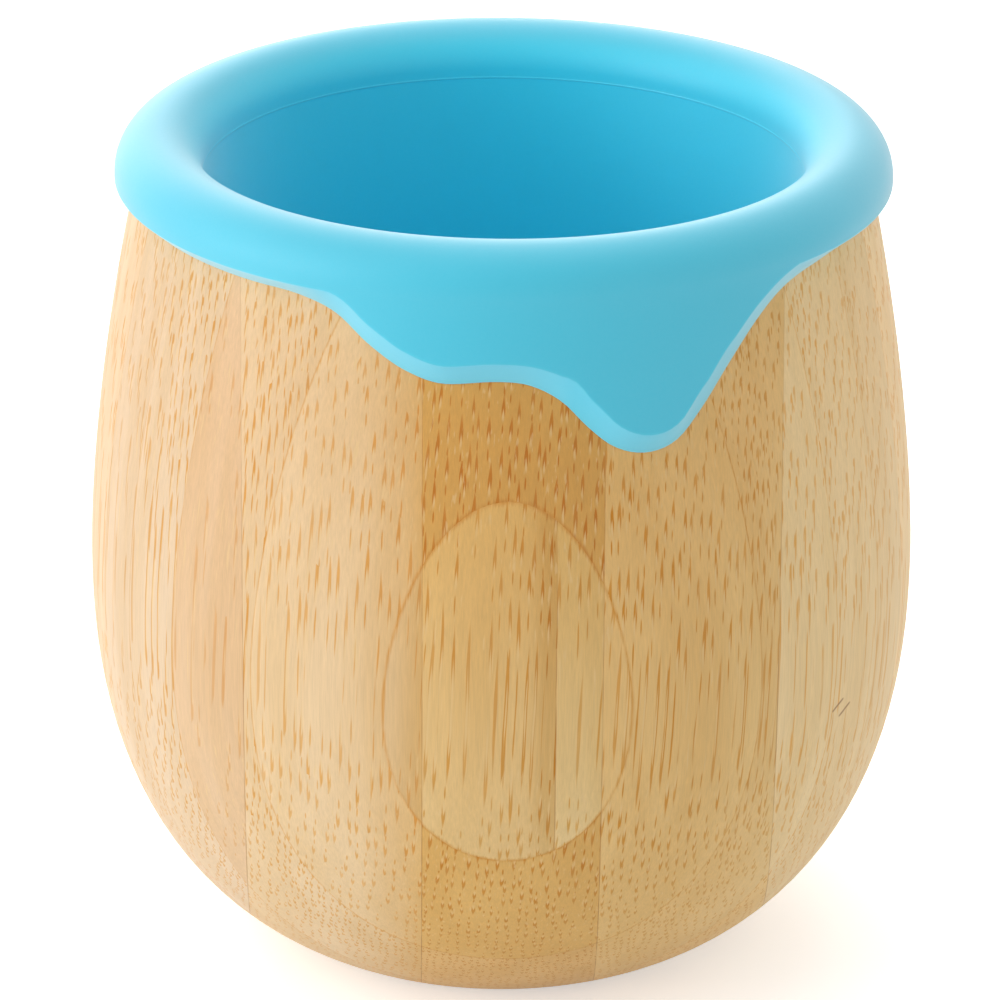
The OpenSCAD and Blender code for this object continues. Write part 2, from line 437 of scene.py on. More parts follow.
def drip_share(turn):
    """Depth of the drip edge as a share of the longest drip: a smooth curve, level at its highs and lows."""
    count = len(DRIP_SHARES)
    first = DRIP_SHARES[0][0]
    here = first + (turn - first) % 360

    def knot(i):
        return DRIP_SHARES[i % count][0] + 360 * (i // count), DRIP_SHARES[i % count][1]

    def rise(i):
        (t0, s0), (t1, s1) = knot(i), knot(i + 1)
        return (s1 - s0) / (t1 - t0)

    def slope(i):
        if rise(i - 1) * rise(i) <= 0:
            return 0
        return (rise(i - 1) + rise(i)) / 2

    i = max(k for k in range(count) if knot(k)[0] <= here)
    (t0, s0), (t1, s1) = knot(i), knot(i + 1)
    width = t1 - t0
    return eased((here - t0) / width, s0, s1, width * slope(i), width * slope(i + 1))


def edge_z(turn):
    """Height of the skirt's lower edge."""
    liner = settings().liner
    return settings().body.mouth_h - liner.plain_drop - liner.drip_len * drip_share(turn)


def skirt_r(z):
    """Radius of the skirt's outside, which leaves the roll upright and then follows the wood."""
    body = settings().body
    liner = settings().liner
    cup = cup_numbers()
    blend = 5 * MM
    low = cup["roll_z"] - blend
    if z <= low:
        return body_r(min(z, body.mouth_h)) + liner.skirt_t
    start = body_r(low) + liner.skirt_t
    end = cup["roll_x"] + liner.roll_r
    slope = (body_r(low) - body_r(low - MM)) / MM * blend
    return eased((z - low) / blend, start, end, slope, 0)


def between(start, end, share):
    """The point that lies at a share of the way."""
    return tuple(a + (b - a) * share for a, b in zip(start, end))


def liner_section(turn):
    """Section of the liner: from the drinking space's floor, over the rim and skirt, to its underside."""
    body = settings().body
    liner = settings().liner
    cup = cup_numbers()
    floor_rows = 5
    corner_rows = 14
    wall_rows = 14
    roll_rows = 44
    skirt_rows = 18
    round_rows = 4
    bevel_rows = 4
    inner_rows = 10
    floor_z = cup["floor_z"]
    roll_x = cup["roll_x"]
    roll_z = cup["roll_z"]
    corner = cup_corner(0, corner_rows)
    points = line((0, floor_z), corner[0], floor_rows) + corner
    # Fine moulding line just below the place where the wall meets the roll, between close rows
    flash_z = roll_z - liner.flash_drop
    points += line(corner[-1], (wall_r(flash_z, 0), flash_z), wall_rows)[1:]
    for rows, stand_out in ((-4, 0), (-1, 0), (0, liner.flash_h), (1, 0), (4, 0)):
        z = flash_z + rows * liner.flash_h
        points.append((wall_r(z, 0) - stand_out, z))
    for i in range(roll_rows + 1):
        roll = math.pi - math.pi * i / roll_rows
        points.append((roll_x + liner.roll_r * math.cos(roll), roll_z + liner.roll_r * math.sin(roll)))
    # The bevel keeps its width where the edge slopes, which is measured over this many degrees each way
    ahead = 0.5
    low = edge_z(turn)
    run = mouth_r() * math.radians(2 * ahead)
    stretch = math.hypot(1, (edge_z(turn + ahead) - edge_z(turn - ahead)) / run)
    edge = (body_r(low) + liner.skirt_gap, low)
    ridge_z = min(low + liner.bevel_h * stretch, roll_z - liner.bevel_clear)
    ridge = (skirt_r(ridge_z), ridge_z)
    # Rounding of the ridge and of the lower edge, along the sides that meet there
    share = liner.ridge_round / math.dist(ridge, edge)
    above_ridge = (skirt_r(ridge_z + liner.ridge_round), ridge_z + liner.ridge_round)
    below_ridge = between(ridge, edge, share)
    above_edge = between(edge, ridge, share / 2)
    behind_edge = (body_r(low + liner.ridge_round / 2) + liner.skirt_gap, low + liner.ridge_round / 2)
    # A close row on each side of a rounding keeps the faces beside it flat
    hold_z = above_ridge[1] + liner.ridge_round
    hold_share = 0.06
    for i in range(1, skirt_rows + 1):
        z = roll_z + (hold_z - roll_z) * i / skirt_rows
        points.append((skirt_r(z), z))
    points += rounded(above_ridge, ridge, below_ridge, round_rows)
    for near in [hold_share] + [i / bevel_rows for i in range(1, bevel_rows)] + [1 - hold_share]:
        points.append(between(below_ridge, above_edge, near))
    points += rounded(above_edge, edge, behind_edge, round_rows)
    # Back of the skirt, the seat on the wooden mouth, and the outside of the cup
    seat_z = body.mouth_h + liner.gap
    for i in range(1, inner_rows + 1):
        z = behind_edge[1] + (body.mouth_h - behind_edge[1]) * i / inner_rows
        points.append((body_r(z) + liner.skirt_gap, z))
    points.append((mouth_r() + liner.skirt_gap, seat_z))
    points.append((mouth_r() - liner.gap, seat_z))
    outer_corner = cup_corner(liner.wall, corner_rows)[::-1]
    points += line((wall_r(seat_z, liner.wall), seat_z), outer_corner[0], wall_rows)
    points += outer_corner
    points += line(outer_corner[-1], (0, floor_z - liner.wall), floor_rows)[1:]
    points.append((0, floor_z - liner.wall))
    return points


# Shader building blocks

NO_TINT = (1, 1, 1, 1)


class Tree:
    """Short ways to add the nodes that the finishes use."""

    def __init__(self, tree):
        self.tree = tree
        self.count = 0

    def add(self, kind, **values):
        node = self.tree.nodes.new(kind)
        self.count += 1
        node.location = (self.count * 180, -(self.count % 6) * 160)
        for key, value in values.items():
            setattr(node, key, value)
        return node

    def join(self, source, socket):
        if hasattr(source, "is_output"):
            self.tree.links.new(source, socket)
        else:
            socket.default_value = source

    def fill(self, node, *sources):
        for source, socket in zip(sources, node.inputs):
            self.join(source, socket)
        return node.outputs

    def math(self, operation, *sources, clamp=False):
        return self.fill(self.add("ShaderNodeMath", operation=operation, use_clamp=clamp), *sources)[0]

    def times(self, *sources):
        return self.math("MULTIPLY", *sources)

    def times_plus(self, *sources):
        return self.math("MULTIPLY_ADD", *sources)

    def plus(self, *sources):
        return self.math("ADD", *sources)

    def minus(self, *sources):
        return self.math("SUBTRACT", *sources)

    def over(self, *sources, clamp=False):
        return self.math("DIVIDE", *sources, clamp=clamp)

    def absolute(self, source):
        return self.math("ABSOLUTE", source)

    def smaller(self, *sources):
        return self.math("MINIMUM", *sources)

    def larger(self, *sources):
        return self.math("MAXIMUM", *sources)

    def vector(self, operation, *sources):
        outputs = self.fill(self.add("ShaderNodeVectorMath", operation=operation), *sources)
        return outputs["Value" if operation in ("LENGTH", "DOT_PRODUCT") else "Vector"]

    def times_each(self, *sources):
        return self.vector("MULTIPLY", *sources)

    def scaled(self, vector, factor):
        node = self.add("ShaderNodeVectorMath", operation="SCALE")
        self.join(vector, node.inputs[0])
        self.join(factor, node.inputs["Scale"])
        return node.outputs["Vector"]

    def pieces(self, vector):
        return self.fill(self.add("ShaderNodeSeparateXYZ"), vector)[:3]

    def together(self, x, y, z):
        return self.fill(self.add("ShaderNodeCombineXYZ"), x, y, z)[0]

    def ramp(self, value, low, high, to_low=0.0, to_high=1.0, smooth=True):
        kind = "SMOOTHSTEP" if smooth else "LINEAR"
        node = self.add("ShaderNodeMapRange", interpolation_type=kind)
        return self.fill(node, value, low, high, to_low, to_high)[0]

    def mix(self, factor, first, second):
        node = self.add("ShaderNodeMix", data_type="RGBA")
        self.join(factor, node.inputs["Factor"])
        colours = [s for s in node.inputs if s.type == "RGBA"]
        self.join(first, colours[0])
        self.join(second, colours[1])
        return next(s for s in node.outputs if s.type == "RGBA")

    def brightened(self, colour, factor):
        """A colour times a factor that changes over the surface."""
        return self.times_each(colour, self.together(factor, factor, factor))

    def tinted(self, colour, mask, tint):
        """A colour, multiplied by a tint as far as a mask says."""
        return self.times_each(colour, self.mix(mask, NO_TINT, tint))

    def stained(self, colour, mask, ground, tint):
        """A colour that gives way to the tinted ground as far as a mask says."""
        return self.mix(mask, colour, self.times_each(ground, tint))

    def noise(self, place, scale, detail=2.0, roughness=0.5):
        node = self.add("ShaderNodeTexNoise", noise_dimensions="3D")
        self.join(place, node.inputs["Vector"])
        node.inputs["Scale"].default_value = scale
        node.inputs["Detail"].default_value = detail
        node.inputs["Roughness"].default_value = roughness
        return node.outputs["Fac"], node.outputs["Color"]

    def sway(self, place, detail, reach):
        """How far a slow noise pushes a point to each side."""
        noise = self.noise(place, 1.0, detail)[1]
        return self.pieces(self.scaled(self.vector("SUBTRACT", noise, (0.5, 0.5, 0.5)), reach))

    def cells(self, x, y, across, deep, stagger, irregular):
        """Place seen from the nearest point of a staggered, uneven lattice, and that point's three draws."""
        column = self.over(x, across)
        row = self.plus(self.over(y, deep), self.times(column, stagger))
        node = self.add("ShaderNodeTexVoronoi", voronoi_dimensions="2D", feature="F1")
        self.join(self.together(column, row, 0.0), node.inputs["Vector"])
        node.inputs["Scale"].default_value = 1
        node.inputs["Randomness"].default_value = irregular
        at_column, at_row, _ = self.pieces(node.outputs["Position"])
        off_column = self.minus(column, at_column)
        off_row = self.minus(self.minus(row, at_row), self.times(off_column, stagger))
        away = self.together(self.times(off_column, across), self.times(off_row, deep), 0.0)
        return away, node.outputs["Color"]

    def group(self, name, **values):
        node = self.add("ShaderNodeGroup", node_tree=bpy.data.node_groups[name])
        for key, value in values.items():
            self.join(value, node.inputs[key.replace("_", " ")])
        return node.outputs

    def bump(self, height, strength, distance, shader):
        """Lets a height that changes over the surface bend a shader's normal."""
        node = self.add("ShaderNodeBump")
        node.inputs["Strength"].default_value = strength
        node.inputs["Distance"].default_value = distance
        self.join(height, node.inputs["Height"])
        self.join(node.outputs["Normal"], shader.inputs["Normal"])


def new_group(name, inputs, outputs):
    """An empty node group with named sockets, and its first and last node."""
    group = bpy.data.node_groups.new(name, "ShaderNodeTree")
    for side, sockets in (("INPUT", inputs), ("OUTPUT", outputs)):
        for label, kind in sockets:
            group.interface.new_socket(label, in_out=side, socket_type="NodeSocket" + kind)
    tree = Tree(group)
    return tree, tree.add("NodeGroupInput").outputs, tree.add("NodeGroupOutput").inputs


def new_finish(name, **sockets):
    """A new material and its shader, with plain values for the sockets that are the same all over."""
    material = bpy.data.materials.new(name)
    material.use_nodes = True
    shader = material.node_tree.nodes["Principled BSDF"]
    for key, value in sockets.items():
        shader.inputs[key.replace("_", " ")].default_value = value
    return material, Tree(material.node_tree), shader


def bundle_group():
    """Fibre bundles: a solid wedge that splits into two prongs round a pale core, and a cap of its own."""
    tree, given, result = new_group(
        "Bamboo bundles",
        [("Place", "Vector"), ("Scale", "Float"), ("Size", "Float"), ("Chance", "Float")],
        [("Dark", "Float"), ("Pale", "Float")])
    x, y, _ = tree.pieces(given["Place"])
    x = tree.over(x, given["Scale"])
    y = tree.over(y, given["Scale"])
    away, random = tree.cells(x, y, across=0.94, deep=0.79, stagger=0.45, irregular=0.6)
    draw, strength, size = tree.pieces(random)
    grow = tree.over(tree.ramp(size, 0.0, 1.0, 1.15, 0.88, smooth=False), given["Size"])
    side, behind, _ = tree.pieces(tree.scaled(away, grow))
    side = tree.absolute(side)
    # Half widths of the wedge and of the core, which both start as a point and then stay even
    wedge_half = tree.smaller(tree.times_plus(behind, -0.6, 0.26), 0.18)
    core_half = tree.smaller(tree.times_plus(behind, -0.7, 0.08), 0.11)
    outer = tree.ramp(tree.minus(wedge_half, side), -0.02, 0.03)
    inner = tree.ramp(tree.minus(core_half, side), -0.025, 0.03)
    wedge = tree.times(outer, tree.minus(1.0, inner))
    wedge = tree.times(wedge, tree.ramp(behind, -0.09, 0.09))
    wedge = tree.times(wedge, tree.ramp(behind, 0.4, 0.2, 0.5, 1.0))
    # Oval cap in front of the wedge: its half width, its place and its half length
    cap_side = tree.over(side, 0.085)
    cap_behind = tree.over(tree.plus(behind, 0.275), 0.105)
    cap = tree.vector("LENGTH", tree.together(cap_side, cap_behind, 0.0))
    cap = tree.ramp(cap, 1.2, 0.55)
    core = tree.times(inner, tree.ramp(behind, -0.16, -0.04))
    weight = tree.times(tree.math("LESS_THAN", draw, given["Chance"]),
                        tree.ramp(strength, 0.0, 1.0, 0.7, 1.0, smooth=False))
    tree.join(tree.times(tree.larger(wedge, cap), weight), result["Dark"])
    tree.join(tree.times(core, weight), result["Pale"])


# Tints of the wood: its slow bands, left of a band's edge, the lighter places, partly painted light towards
# the foot, and the scar
DARK_BAND = (0.97, 0.95, 0.9, 1)
PALE_BAND = (1.03, 1.05, 1.1, 1)
BEFORE_EDGE = (0.88, 0.82, 0.68, 1)
LIGHTER = (1.03, 1.08, 1.15, 1)
SCAR_TINT = (0.42, 0.26, 0.16)


def scar_mask(tree, scar, x, z, sway):
    """Two slanting cracks of a bamboo node's scar."""
    # Direction of the cracks across and up, and half their distance in millimetres
    slant_x = 0.78
    slant_z = 0.62
    half_apart = 0.6
    scar_x, _, scar_z = tree.pieces(tree.vector("SUBTRACT", tree.together(x, 0.0, z), scar))
    along = tree.times_plus(scar_z, slant_z, tree.times(scar_x, slant_x))
    aside = tree.times_plus(scar_x, slant_z, tree.times(scar_z, -slant_x))
    aside = tree.minus(tree.absolute(aside), half_apart)
    aside = tree.plus(aside, tree.times(sway, 0.5))
    return tree.times(tree.ramp(tree.absolute(aside), 0.17, 0.05),
                      tree.ramp(tree.absolute(along), 0.85, 0.6, 0.0, 0.85))


def bamboo_group():
    """Wood of one strip: bundles along Z, crowded at its skin side and fainter further in, grain and glue."""
    tree, given, result = new_group(
        "Bamboo strip",
        [("Place", "Vector"), ("Front", "Float"), ("Back", "Float"), ("Left", "Float"),
         ("Right", "Float"), ("Skin", "Float"), ("Plenty", "Float"), ("Contrast", "Float"),
         ("Seed", "Float"), ("Edge of a band", "Float"), ("Scar", "Vector"), ("Ground", "Color"),
         ("Tint to the right", "Color"), ("Tint below", "Color"), ("Fibre tint", "Color"),
         ("Pith", "Color"), ("Glue tint", "Color")],
        [("Color", "Color"), ("Roughness", "Float"), ("Height", "Float")])
    x, y, z = tree.pieces(given["Place"])
    # Fibres lean a little and wander on their way up, slowly and with a short sway
    lean = -0.05
    slow = tree.together(
        tree.times_plus(x, 0.05, given["Seed"]), tree.times(y, 0.05), tree.times(z, 0.014))
    drift_x, drift_y, _ = tree.sway(slow, 2.5, 2.4)
    sway_x, sway_y, _ = tree.sway(tree.times_each(given["Place"], (0.6, 0.6, 0.1)), 2.0, 0.35)
    off_x = tree.plus(tree.times_plus(z, lean, drift_x), sway_x)
    off_y = tree.plus(drift_y, sway_y)
    place = tree.together(
        tree.plus(tree.plus(x, off_x), tree.times(given["Seed"], 17.3)),
        tree.plus(tree.plus(y, off_y), tree.times(given["Seed"], 5.9)),
        0.0)
    depth = tree.minus(y, given["Front"])
    share = tree.over(depth, tree.minus(given["Back"], given["Front"]), clamp=True)
    uneven = tree.times_plus(tree.times(off_y, given["Skin"]), 0.3, depth)
    near_skin = tree.ramp(uneven, given["Skin"], tree.times(given["Skin"], 0.75))
    banded = tree.together(
        tree.times_plus(x, 0.16, given["Seed"]), tree.times(y, 0.3), tree.times(z, 0.018))
    bands = tree.noise(banded, 1.0, 2.0)[0]
    chance = tree.times(near_skin, tree.ramp(bands, 0.35, 0.5, 0.75, 1.01))
    skin = tree.group("Bamboo bundles", Place=place, Scale=0.76, Size=1.15, Chance=chance)
    # Left of a band's edge the bundles lie closer and show more
    beyond = tree.plus(tree.minus(x, given["Edge of a band"]), sway_x)
    before_edge = tree.times(tree.ramp(beyond, -3.2, -0.8), tree.ramp(beyond, 0.0, -0.1))
    chance = tree.times(given["Plenty"], tree.ramp(share, 0.35, 1.0, 1.0, 0.75, smooth=False))
    chance = tree.times(chance, tree.minus(1.0, near_skin))
    chance = tree.plus(chance, before_edge)
    inner = tree.group("Bamboo bundles", Place=place, Scale=1.0, Size=1.0, Chance=chance)
    # Bundles show less further in and towards the foot
    fading = tree.ramp(share, 0.2, 1.0, 1.0, 0.8, smooth=False)
    fading = tree.times(fading, given["Contrast"])
    fading = tree.times(fading, tree.ramp(z, 8.0, 34.0, 0.8, 1.0))
    fading = tree.times(fading, tree.times_plus(before_edge, 0.35, 1.0))
    dark = tree.larger(skin["Dark"], inner["Dark"])
    dark = tree.times(dark, fading)
    pale = tree.times(tree.larger(skin["Pale"], inner["Pale"]), fading)
    # Fine grain with a few pale fibres, streaks, and slow changes of tone from band to band
    stretched = tree.times_each(given["Place"], (7.0, 7.0, 0.3))
    fine = tree.noise(stretched, 1.0, 3.0, 0.6)[0]
    streaked = tree.together(
        tree.times_plus(x, 1.7, given["Seed"]), tree.times(y, 3.0), tree.times(z, 0.05))
    streaks = tree.noise(streaked, 1.0, 3.0, 0.6)[0]
    fibres = tree.times_each(place, (3.2, 3.2, 1.0))
    fibres = tree.together(*tree.pieces(fibres)[:2], tree.times(z, 0.1))
    fibres = tree.ramp(tree.noise(fibres, 1.0, 2.0, 0.5)[0], 0.62, 0.72, 0.0, 0.5)
    tone = tree.times(tree.ramp(fine, 0.25, 0.75, 0.925, 1.075, smooth=False),
                      tree.ramp(streaks, 0.3, 0.7, 0.97, 1.03, smooth=False))
    ground = tree.brightened(given["Ground"], tone)
    ground = tree.times_each(ground, tree.mix(tree.ramp(bands, 0.32, 0.68), DARK_BAND, PALE_BAND))
    to_right = tree.math("POWER", tree.ramp(x, given["Left"], given["Right"], smooth=False), 4.0)
    ground = tree.tinted(ground, to_right, given["Tint to the right"])
    # Ground and pith get paler towards the foot: partly the wood's own tone, partly painted light from the
    # floor below
    below = tree.ramp(z, 66.0, 10.0, smooth=False)
    ground = tree.tinted(ground, below, given["Tint below"])
    ground = tree.tinted(ground, before_edge, BEFORE_EDGE)
    ground = tree.tinted(ground, tree.ramp(beyond, -0.06, 0.06), LIGHTER)
    colour = tree.stained(ground, dark, ground, given["Fibre tint"])
    pale = tree.larger(tree.times(pale, 0.65), fibres)
    colour = tree.mix(pale, colour, tree.tinted(given["Pith"], below, LIGHTER))
    colour = tree.stained(colour, scar_mask(tree, given["Scar"], x, z, sway_x), ground, SCAR_TINT)
    # Thin glue lines: sharper between the columns, ragged between the layers, fainter towards the mouth
    to_side = tree.smaller(tree.minus(x, given["Left"]), tree.minus(given["Right"], x))
    to_side = tree.smaller(to_side, tree.absolute(tree.plus(beyond, 0.03)))
    to_face = tree.smaller(depth, tree.minus(given["Back"], y))
    to_face = tree.times_plus(tree.minus(fine, 0.5), 0.12, to_face)
    patchy = tree.times_each(given["Place"], (0.5, 0.5, 0.22))
    patchy = tree.ramp(tree.noise(patchy, 1.0, 2.0)[0], 0.3, 0.6, 0.3, 0.85)
    side_glue = tree.times(tree.ramp(to_side, 0.07, 0.02), tree.ramp(z, 68.0, 34.0, 0.4, 1.0))
    face_glue = tree.times(tree.ramp(to_face, 0.08, -0.01), patchy)
    colour = tree.stained(colour, tree.times(face_glue, 0.75), ground, given["Fibre tint"])
    glue = tree.times(side_glue, patchy)
    colour = tree.stained(colour, glue, ground, given["Glue tint"])
    tree.join(colour, result["Color"])
    rough = tree.plus(0.46, tree.times(dark, 0.08))
    tree.join(tree.times_plus(fine, 0.1, rough), result["Roughness"])
    sunk = tree.plus(tree.times(dark, -0.2), tree.times(glue, -0.4))
    tree.join(tree.times_plus(fine, 0.35, sunk), result["Height"])


def block_place(tree):
    """Place on the glued block, in millimetres along its columns and layers."""
    turned = tree.add("ShaderNodeMapping")
    tree.join(tree.add("ShaderNodeTexCoord").outputs["Object"], turned.inputs["Vector"])
    turned.inputs["Rotation"].default_value = (0, 0, -settings().block.turn)
    turned.inputs["Scale"].default_value = (1 / MM, 1 / MM, 1 / MM)
    return turned.outputs["Vector"]


# What sets the strips that show in front apart: shares of their column's colour, how many bundles
# they have and how clearly they show, the depth of the crowded skin side in millimetres, and a tint
# towards the foot that is partly painted light from the floor below
STRIP_LOOKS = {
    (1, "left"): {"tint": (0.97, 1.0, 1.05), "plenty": 0.6, "contrast": 0.85, "skin": 0.01},
    (1, "middle"): {"tint": (1.02, 1.01, 0.9), "plenty": 0.75, "contrast": 0.95, "skin": 0.01,
                    "band_edge": 4.8, "below": (1.13, 1.5, 2.85)},
    (1, "right"): {"tint": (1.03, 1.06, 1.12), "plenty": 0.6, "contrast": 0.85, "skin": 0.01},
    (2, "left"): {"plenty": 0.85, "contrast": 0.88, "skin": 0.01},
    (2, "middle"): {"tint": (0.94, 0.86, 0.64), "plenty": 1.0, "contrast": 1.0, "skin": 0.01,
                    "below": (1.12, 1.34, 1.9)},
    (2, "right"): {"plenty": 0.95, "contrast": 1.0, "skin": 0.01},
    (3, "far_left"): {"tint": (0.98, 0.9, 0.8), "plenty": 0.45, "contrast": 0.7, "skin": 0.4,
                      "below": (1.04, 1.16, 1.35)},
    (3, "left"): {"tint": (1.0, 1.03, 1.1), "plenty": 1.0, "contrast": 1.0, "skin": 4.0},
    (3, "middle"): {"tint": (1.02, 1.04, 1.08), "plenty": 1.0, "contrast": 0.95, "skin": 4.0},
    (3, "right"): {"tint": (1.02, 1.04, 1.1), "plenty": 1.0, "contrast": 0.85, "skin": 3.5},
    (3, "far_right"): {"plenty": 0.9, "contrast": 0.9, "skin": 1.2},
    (4, "far_left"): {"plenty": 1.0, "contrast": 1.0, "skin": 4.5},
    (4, "far_right"): {"plenty": 0.95, "contrast": 0.85, "skin": 1.5, "scar": (34.0, 0, 33.6)},
}

# Millimetres to the right where a strip with no edge of a band, or no scar, has it: out of reach
NOWHERE = 1000.0

# How the columns' tone changes towards their right side, and towards the foot, where it is partly the wood's
# own tone and partly painted light from the floor below
TO_THE_RIGHT = {
    "far_left": (1, 1, 1), "left": (0.92, 0.78, 0.48), "middle": (0.97, 0.96, 0.92),
    "right": (1, 1.05, 1.12), "far_right": (1, 1, 1),
}
TONE_AND_PAINTED_LIGHT_BELOW = {
    "far_left": (1.03, 1.1, 1.2), "left": (1.06, 1.18, 1.34), "middle": (1.05, 1.15, 1.4),
    "right": (1, 1.12, 1.3), "far_right": (0.98, 1.03, 1.1),
}


def strip_look(layer, column):
    """How a strip differs from the next: tint, bundles, their contrast and the skin's depth."""
    # Two numbers from 0 to 1 that jump from strip to strip
    pick = (layer * 7 + COLUMNS.index(column) * 5) % 11 / 10
    other = (layer * 5 + COLUMNS.index(column) * 3) % 7 / 6
    tone = 0.96 + 0.08 * pick
    look = {
        "tint": (tone, tone * (0.97 + 0.06 * other), tone * (0.92 + 0.16 * other)),
        "plenty": 0.8 + 0.2 * other, "contrast": 0.75 + 0.2 * pick, "skin": 1 + 1.4 * other,
        "band_edge": NOWHERE, "scar": (NOWHERE, 0, 0), "below": TONE_AND_PAINTED_LIGHT_BELOW[column],
    }
    look.update(STRIP_LOOKS.get((layer, column), {}))
    return look


def in_millimetres(planes, size):
    """Planes in millimetres, with one more a whole strip beyond the outermost on each side."""
    planes = [plane / MM for plane in planes]
    return [planes[0] - size / MM] + planes + [planes[-1] + size / MM]


def bamboo_material(name):
    """Finish of one strip, with its own tone and its own run of the fibres."""
    colours = settings().colours
    layer = int(name.split("_")[1])
    column = name.split("_", 2)[2]
    c = COLUMNS.index(column)
    width, thickness = strip_size()
    layers = in_millimetres(layer_planes(), thickness)
    columns = in_millimetres(column_planes(), width)
    look = strip_look(layer, column)
    material, tree, shader = new_finish("bamboo_" + name, Specular_IOR_Level=0.5)
    ground = [value * share for value, share in zip(getattr(colours, column), look["tint"])]
    fibre = colours.fibre_tint if column in ("middle", "right") else colours.pale_fibre_tint
    wood = tree.group(
        "Bamboo strip", Place=block_place(tree), Front=layers[layer - 1], Back=layers[layer],
        Left=columns[c], Right=columns[c + 1], Skin=look["skin"], Plenty=look["plenty"],
        Contrast=look["contrast"], Seed=layer * 3.7 + c * 11.1, Edge_of_a_band=look["band_edge"],
        Scar=look["scar"], Ground=(*ground, 1), Tint_to_the_right=(*TO_THE_RIGHT[column], 1),
        Tint_below=(*look["below"], 1), Fibre_tint=(*fibre, 1),
        Pith=(*colours.pith, 1), Glue_tint=(*colours.glue_tint, 1))
    tree.join(wood["Color"], shader.inputs["Base Color"])
    tree.join(wood["Roughness"], shader.inputs["Roughness"])
    tree.bump(wood["Height"], 0.4, 0.03 * MM, shader)
    return material


def silicone_material():
    """Soft matte silicone, faintly translucent, with painted light inside the cup and along its lower edge.
    """
    colours = settings().colours
    material, tree, shader = new_finish(
        "matte_silicone", Subsurface_Weight=0.15, Subsurface_Radius=(0.3, 1.0, 1.0),
        Subsurface_Scale=1.2 * MM, Sheen_Weight=0.7, Sheen_Roughness=0.5, IOR=1.53,
        Specular_IOR_Level=1)
    place = tree.scaled(tree.add("ShaderNodeTexCoord").outputs["Object"], 1 / MM)
    skin = tree.noise(place, 3.2, 4.0, 0.65)[0]
    cloud = tree.noise(place, 0.035, 2.0)[0]
    colour = tree.brightened(tuple(colours.silicone), tree.ramp(cloud, 0.3, 0.7, 0.985, 1.015))
    # Sides that face inwards or up, and lie within the rim, are the drinking space, whose brighter blue is
    # painted light that the lamps don't bring into the cup
    normal = tree.add("ShaderNodeNewGeometry").outputs["Normal"]
    facing = tree.pieces(normal)[2]
    flat = tree.times_each(place, (1, 1, 0))
    outwards = tree.vector("DOT_PRODUCT", normal, flat)
    inwards = tree.minus(tree.times(facing, 20.0), outwards)
    rim = (cup_numbers()["roll_x"] - settings().liner.roll_r) / MM
    inside = tree.times(tree.ramp(inwards, 0.0, 10.0),
                        tree.ramp(tree.vector("LENGTH", flat), rim + 2.5, rim + 0.2))
    colour = tree.mix(inside, colour, (*colours.inner_silicone_painted_light, 1))
    # Where it thins out towards its lower edge, on the side that faces down, a paler colour is painted light
    # that comes through it
    painted_light_through = tree.ramp(facing, -0.15, -0.4)
    colour = tree.mix(painted_light_through, colour, (*colours.thin_silicone_painted_light, 1))
    tree.join(colour, shader.inputs["Base Color"])
    tree.join(tree.ramp(skin, 0.3, 0.7, 0.55, 0.63), shader.inputs["Roughness"])
    tree.bump(skin, 0.25, 0.008 * MM, shader)
    return material


class CUP_OT_bamboo_strips(Operator):
    """Turn the cup's body and cut it into the bamboo strips that it is glued from"""

    bl_idname = "bamboo_cup.bamboo_strips"
    bl_label = "Bamboo strips"

    def execute(self, context):
        bundle_group()
        bamboo_group()
        strips = cut_into_strips()
        missing = sorted(set(STRIP_NODES) - set(strips))
        if missing:
            raise RuntimeError(f"the block gave no piece for {missing}")
        for name, mesh in strips.items():
            piece = finished_object(mesh, "wood_" + name, bamboo_material(name))
            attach(piece, WOOD_BODY)
            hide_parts(name)
        return {"FINISHED"}


class CUP_OT_silicone_liner(Operator):
    """Mould the silicone liner with its rolled rim and the skirt that runs down in drips"""

    bl_idname = "bamboo_cup.silicone_liner"
    bl_label = "Silicone liner"

    def execute(self, context):
        mesh = turned_mesh(liner_section, settings().liner.segments)
        piece = finished_object(mesh, "soft_liner", silicone_material())
        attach(piece, LINER_BODY)
        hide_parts(LINER_NODE)
        return {"FINISHED"}


# Stage

# Square soft lamps: place and width in metres, and power in watts
LAMPS = {
    "key_left": ((-0.75, -0.22, 0.56), 0.85, 3.3),
    "low_left": ((-0.87, -0.34, 0.16), 0.5, 2.6),
    "fill_right": ((0.7, -0.7, 0.4), 0.7, 0.8),
    "top_back": ((0.1, 0.25, 1.1), 0.7, 2.1),
    "back_low": ((-0.3, 0.95, 0.35), 1.0, 7.0),
    "right_back": ((0.75, 0.5, 0.5), 0.7, 1.0),
}


def seen_directly(tree):
    """1 to the camera, to gloss and through glass, and 0 for the light that falls on the cup."""
    path = tree.add("ShaderNodeLightPath").outputs
    other = tree.larger(path["Is Glossy Ray"], path["Is Transmission Ray"])
    return tree.larger(path["Is Camera Ray"], other)


def floor_material():
    """White floor that keeps the cup's shadow and is white to the camera, to gloss and through glass."""
    material, tree, shader = new_finish(
        "white_floor", Base_Color=(0.93, 0.93, 0.93, 1), Roughness=1, Specular_IOR_Level=0,
        Emission_Color=(1, 1, 1, 1))
    glow = tree.times(seen_directly(tree), settings().stage.floor_glow)
    tree.join(glow, shader.inputs["Emission Strength"])
    return material


def soft_lamp(name, place, size, power):
    """A lamp that points at the cup's middle."""
    lamp = bpy.data.lights.new(name, "AREA")
    lamp.shape = "SQUARE"
    lamp.size = size
    lamp.energy = power
    holder = bpy.data.objects.new(name, lamp)
    holder.location = place
    aim = Vector((0, 0, settings().stage.aim_h)) - Vector(place)
    holder.rotation_euler = aim.to_track_quat("-Z", "Y").to_euler()
    bpy.context.scene.collection.objects.link(holder)


